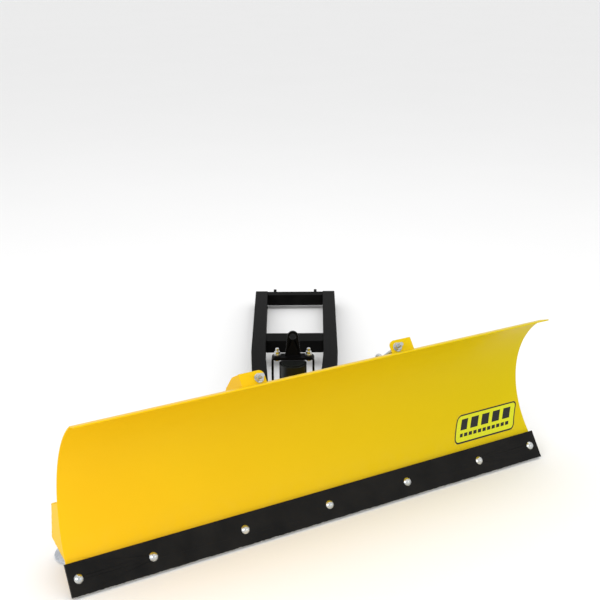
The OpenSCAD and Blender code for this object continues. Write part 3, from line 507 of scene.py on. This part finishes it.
web_top, web_foot = BOX_TOP - BOX_DROP, BOX_TOP - BOX_DROP - BOX_H
shoe_x, end_runs = BLADE_W / 2 - 62, []
for side in (-1, 1):
    corners = [(back_n(BOX_TOP) + 1, BOX_TOP - 0.5), (BOX_BACK - 0.5, web_top), (BOX_BACK, web_foot),
               (back_n(web_foot - 8) + 3, web_foot - 9.2)]
    end_runs.append([blade(side * (end_x(z) - BOX_INSET - 1.6), n, z) for n, z in corners])
    for s in (RIB_X, RIB_X - RIB_T):
        end_runs.append([blade(side * s, BOX_BACK + 0.2, web_foot + 3),
                         blade(side * s, BOX_BACK + 0.2, web_top - 3)])
    for s in (12, -12):
        end_runs.append([blade(side * shoe_x + s, BOX_BACK + 0.2, 80),
                         blade(side * shoe_x + s, BOX_BACK + 0.2, 116)])
weld_piece("end_welds", "blade", end_runs, "yellow_weld", 1.9)

# bracket plates to the ribs and the sheet
tab_dir = (math.sin(SPRING_FALL), math.cos(SPRING_FALL))
spring_dir = (math.cos(SPRING_FALL), -math.sin(SPRING_FALL))
tab_runs = []
for side in (-1, 1):
    x = side * (RIB_X - RIB_T - 0.2)
    for t in (-14, ):
        a = (TAB_BACK + spring_dir[0] * 2.7, TAB_Z + spring_dir[1] * 2.7)
        tab_runs.append([blade(x, a[0] + tab_dir[0] * 14, a[1] + tab_dir[1] * 14),
                         blade(x, a[0] + tab_dir[0] * t, a[1] + tab_dir[1] * t)])
weld_piece("bracket_welds", "blade", tab_runs, "yellow_weld", 2.0)

# swivel: anchors and arms to the beam
swivel_runs = []
for side in (-1, 1):
    for s in (SPRING_X - 4, SPRING_X + 4):
        swivel_runs.append([swivel(side * s, -23, 127.4), swivel(side * s, 23, 127.4)])
    for v in (-25, 25):
        swivel_runs.append([swivel(side * 201, v, 92), swivel(side * 201, v, 124)])
    swivel_runs.append([swivel(side * 201, -22, 127.4), swivel(side * 201, 22, 127.4)])
for v in (-1, 1):
    swivel_runs.append([swivel(24.2 * math.cos(a), 24.2 * math.sin(a) * v, 127.2)
                        for a in [math.pi * k / 18 for k in range(19)]])
weld_piece("swivel_welds", "swivel", swivel_runs, "black_weld", 2.1)


# push frame: cross pieces and nose plates to the tubes, ears to the bar
TUBE_START, TUBE_END, BEND_BACK = 105.0, REACH - 30, 660.0
TUBE, TUBE_FRONT, TUBE_MID, TUBE_REAR, TUBE_TOP, SLOPE_START = 44.0, 58.0, 89.0, 102.0, 130.0, 215.0
CROSS_BACK, CROSS_D, BAR_D = 775.0, 71.0, 40.0


def tube_in(y):
    if y < BEND_BACK:
        return TUBE_FRONT + (TUBE_MID - TUBE_FRONT) * (y - TUBE_START) / (BEND_BACK - TUBE_START)
    return TUBE_MID + (TUBE_REAR - TUBE_MID) * (y - BEND_BACK) / (TUBE_END - BEND_BACK)


def tube_top(y):
    return TUBE_TOP - (TUBE_TOP - 2 * EAR_R - 4) * max(0, y - SLOPE_START) / (TUBE_END - SLOPE_START)


frame_runs = []
cross_top = tube_top(CROSS_BACK + CROSS_D) - 1
for side in (-1, 1):
    for y, low, high in ((CROSS_BACK, cross_top - 39, cross_top - 1), (TUBE_END - BAR_D, 15, 51),
                         (CROSS_BACK + CROSS_D, cross_top - 39, cross_top - 1)):
        frame_runs.append([kingpin(side * tube_in(y), y, low), kingpin(side * tube_in(y), y, high)])
    for y0, y1, z in ((CROSS_BACK + 2, CROSS_BACK + CROSS_D - 2, cross_top),
                      (TUBE_END - BAR_D + 2, TUBE_END - 2, 54)):
        frame_runs.append([kingpin(side * tube_in(y0), y0, z), kingpin(side * tube_in(y1), y1, z)])
    for z in (TUBE_TOP + 0.2, TUBE_TOP - TUBE - 0.2):
        for y0, y1 in ((112, 150), (170, 208)):
            frame_runs.append([kingpin(side * (tube_in(y) + TUBE + 0.3), y, z) for y in (y0, y1)])
    y = SLOPE_START - 1.8
    frame_runs.append([kingpin(side * (tube_in(y) + x), y, TUBE_TOP + 0.4) for x in (2, TUBE - 2)])
    for x in (70, 80):
        frame_runs.append([kingpin(side * x, TUBE_END + 0.3, 18), kingpin(side * x, TUBE_END + 0.3, 50)])
weld_piece("frame_welds", "push_frame", frame_runs, "black_weld", 2.3)
lug_runs = [[kingpin(-18, y, 346.2), kingpin(18, y, 346.2)] for y in (12, 20)]
weld_piece("lug_welds", "push_frame", lug_runs, "black_weld", 1.8)


# trip springs: close coils with a loop at each end
def spring(side):
    hook = Matrix.Rotation(-math.atan2(spring_dir[0], spring_dir[1]), 4, "X")

    def place(x, y, z):
        v = hook @ Vector((x, y, z))
        return blade(side * (SPRING_X + v.x), TAB_BACK + v.y, TAB_Z + v.z)

    mean, wire = 14.75, 2.25
    top_at, top_r, foot_at, foot_r = 105.0, 10.0, 228.5, 11.5
    first, last = top_at + 13.5, foot_at - 15.0
    path = []
    for k in range(25):
        a = math.radians(-70 + 320 * k / 24)
        path.append((top_r * math.cos(a), 0.0, top_at - top_r * math.sin(a)))
    turns = 20.5
    start_a = math.radians(180)
    count = int(turns * 26)
    coil = [(mean * math.cos(start_a + 2 * math.pi * turns * k / count),
             mean * math.sin(start_a + 2 * math.pi * turns * k / count),
             first + (last - first) * k / count) for k in range(count + 1)]
    tail = []
    for k in range(25):
        a = math.radians(-110 + 320 * k / 24)
        tail.append((foot_r * math.cos(a), 0.0, foot_at + foot_r * math.sin(a)))
    knots = path + coil + tail
    smooth = [Vector(k) for k in knots]
    for _ in range(3):
        smooth = [smooth[0]] + [(a + b * 2 + c) / 4 if abs(i - 24) < 5 or abs(i - 25 - count) < 5 else b
                                for i, (a, b, c) in enumerate(zip(smooth, smooth[1:], smooth[2:]))] + [smooth[-1]]
    points = [place(*v) for v in smooth]
    name = "trip_spring_coil_" + ("left" if side < 0 else "right")
    obj = mesh_object(name, *sweep(points, lambda i: wire / 1000, 10), "spring_steel")
    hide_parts("trip_spring_left" if side < 0 else "trip_spring_right")
    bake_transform(obj)
    return obj


for side in (-1, 1):
    spring(side)

# ---- floor, light and camera ----


def floor():
    m = Mat("pale_floor")
    cloud = m.noise(1.3, 3.0, 0.5)
    m.set("Base Color", m.mix(cloud, (0.86, 0.86, 0.86), (0.88, 0.88, 0.88)))
    m.set("Roughness", m.ramp(cloud, 0.3, 0.7, 0.85, 0.95))
    mats["floor"] = m.m
    z = FLOOR_Z - 0.0004
    obj = mesh_object("floor", [(-60, -60, z), (60, -60, z), (60, 60, z), (-60, 60, z)],
                      [(0, 1, 2, 3)], "floor")


floor()
world = bpy.data.worlds.new("studio")
bpy.context.scene.world = world
world.use_nodes = True
world.node_tree.nodes["Background"].inputs[0].default_value = (1.0, 1.0, 1.0, 1)
world.node_tree.nodes["Background"].inputs[1].default_value = 0.95


def softbox(name, at, look, size, power, colour=(1, 1, 1)):
    light = bpy.data.lights.new(name, "AREA")
    light.shape = "RECTANGLE"
    light.size, light.size_y = size
    light.energy = power
    light.color = colour
    obj = bpy.data.objects.new(name, light)
    bpy.context.scene.collection.objects.link(obj)
    obj.location = at
    obj.rotation_euler = (Vector(look) - Vector(at)).to_track_quat("-Z", "Y").to_euler()
    obj.visible_camera = False


softbox("key", (-1.9, -4.9, 2.3), (0, -1.5, 0.2), (2.4, 2.0), 63, (1.0, 0.99, 0.98))
softbox("fill", (3.6, -3.8, 1.8), (0.2, -1.5, 0.2), (2.4, 2.0), 16, (0.96, 1.0, 0.97))
softbox("top", (0.2, -0.9, 3.8), (0, -1.4, 0.1), (3.4, 3.0), 34)

SENSOR, FOCAL = 36.0, 1058.0
CAMERA_AT, CAMERA_PITCH, CAMERA_ROLL = (17.87, -2358.98, 1307.0), 19.03, 0.35
camera = bpy.data.cameras.new("camera")
camera.sensor_width = SENSOR
camera.lens = SENSOR * FOCAL / 600.0
eye = bpy.data.objects.new("camera", camera)
bpy.context.scene.collection.objects.link(eye)
eye.location = kingpin(*CAMERA_AT)
eye.rotation_euler = (Matrix.Rotation(math.radians(90 - CAMERA_PITCH), 3, "X")
                      @ Matrix.Rotation(math.radians(-CAMERA_ROLL), 3, "Z")).to_euler()
bpy.context.scene.camera = eye
bpy.context.scene.view_settings.view_transform = "Standard"
